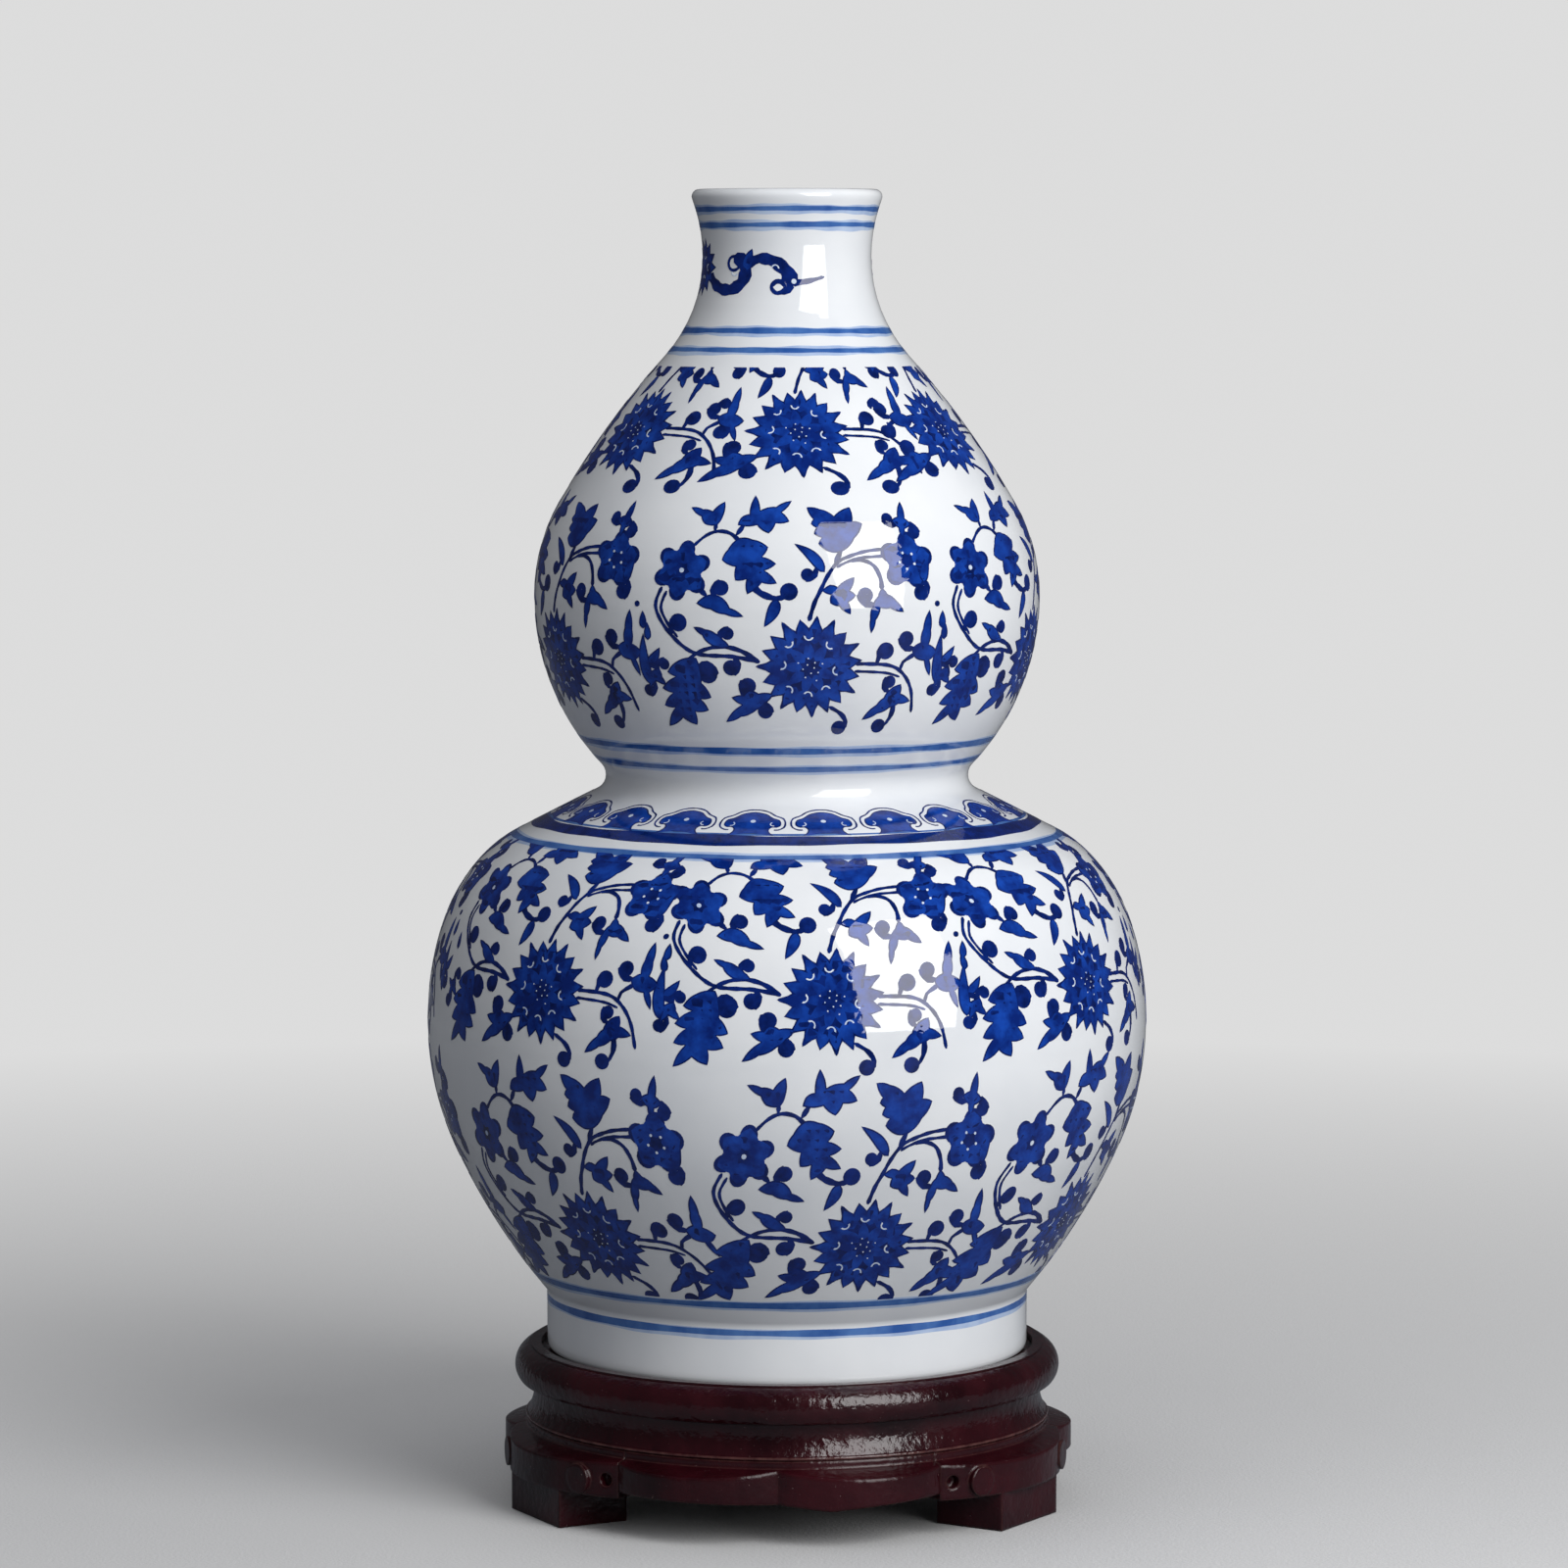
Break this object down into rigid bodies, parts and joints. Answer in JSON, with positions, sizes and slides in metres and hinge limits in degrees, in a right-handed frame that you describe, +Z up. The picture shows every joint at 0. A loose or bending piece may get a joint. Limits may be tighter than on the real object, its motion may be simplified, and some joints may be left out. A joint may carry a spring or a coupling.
{
  "type": "double gourd vase",
  "caption": "Double gourd porcelain vase with a blue lotus scroll, standing loose in a round carved lacquered wooden stand.",
  "frame": {"origin": "on the vase's axis, at the level of the soles of the stand's three feet", "axes": "+Z up along the vase's axis, front towards -Y, with the middle of one apron 2 degrees to the viewer's left of -Y"},
  "size_m": [0.22, 0.22, 0.3998],
  "materials": {
    "porcelain": "glossy clear glaze over cobalt painting",
    "lacquered_wood": "glossy dark red lacquer, uneven",
    "joint_wood": "bare sanded wood"
  },
  "bodies": {
    "stand": {"seat_panel": "lacquered_wood", "rim_segment_1": "lacquered_wood", "rim_segment_2": "lacquered_wood", "rim_segment_3": "lacquered_wood", "waist_segment_1": "lacquered_wood", "waist_segment_2": "lacquered_wood", "waist_segment_3": "lacquered_wood", "apron_1": "lacquered_wood", "apron_2": "lacquered_wood", "apron_3": "lacquered_wood", "leg_1": "lacquered_wood", "leg_2": "lacquered_wood", "leg_3": "lacquered_wood", "seat_batten": "joint_wood", "joint_keys": "joint_wood", "joint_dowels": "joint_wood"},
    "vase": {"vase_body": "porcelain"}
  },
  "joints": [
    {"name": "vase_lift", "type": "slide", "parent": "stand", "child": "vase", "axis": [0, 0, 1], "range_m": [0, 0.05]}
  ]
}
